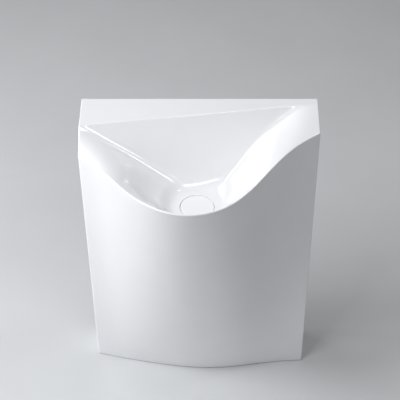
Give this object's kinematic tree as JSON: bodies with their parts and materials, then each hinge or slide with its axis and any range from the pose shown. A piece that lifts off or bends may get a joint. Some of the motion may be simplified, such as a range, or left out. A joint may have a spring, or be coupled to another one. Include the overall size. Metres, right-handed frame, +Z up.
{
  "type": "pedestal sink",
  "caption": "One-piece pedestal sink that stands against a wall: dipping off-centre front lip, sloped bowl, flush click-clack drain cover, bottle trap and floor brackets.",
  "frame": {"origin": "centre of the footprint box, on the floor", "axes": "+Z up; the back face stands against the wall at +Y and the lip faces -Y; +X to the right seen from the front"},
  "size_m": [0.575, 0.3599, 0.8501],
  "materials": {
    "glaze": "gloss white glaze",
    "cover_glaze": "gloss white glaze",
    "seal_rubber": "matt black",
    "pad_rubber": "matt dark grey",
    "brass": "machined",
    "chrome": "polished",
    "zinc_steel": "zinc plated",
    "spring_steel": "drawn stainless wire",
    "plunger_plastic": "moulded",
    "cartridge_plastic": "moulded",
    "washer_plastic": "moulded",
    "bush_plastic": "moulded"
  },
  "bodies": {
    "sink": {"basin_body": "glaze", "cartridge_body": "cartridge_plastic", "cartridge_spring": "spring_steel", "waste_body": "chrome", "flange_gasket": "seal_rubber", "cone_washer": "seal_rubber", "slip_washer": "washer_plastic", "back_nut": "brass", "inlet_nut": "chrome", "inlet_washer": "seal_rubber", "tailpiece": "chrome", "trap_top_nut": "chrome", "trap_top_seal": "seal_rubber", "trap_body": "chrome", "cup_seal": "seal_rubber", "outlet_nut": "chrome", "outlet_seal": "seal_rubber", "outlet_tube": "chrome", "floor_brackets": "zinc_steel", "bracket_bolts": "zinc_steel", "bracket_washers": "zinc_steel", "bracket_inserts": "brass", "foot_pads": "pad_rubber", "wall_bushes": "bush_plastic"},
    "stopper": {"drain_cover": "cover_glaze", "cover_seal": "seal_rubber", "cover_stem": "brass", "cover_locknut": "brass", "plunger": "plunger_plastic"},
    "trap_cup": {"trap_cup": "chrome"}
  },
  "joints": [
    {"name": "cover_lift", "type": "slide", "parent": "sink", "child": "stopper", "axis": [0, 0, 1], "range_m": [0, 0.008], "deforming": ["cartridge_spring"]},
    {"name": "cup_turn", "type": "hinge", "parent": "sink", "child": "trap_cup", "pos_m": [-0.006, -0.056, 0.52], "axis": [0, 0, 1], "continuous": true}
  ]
}
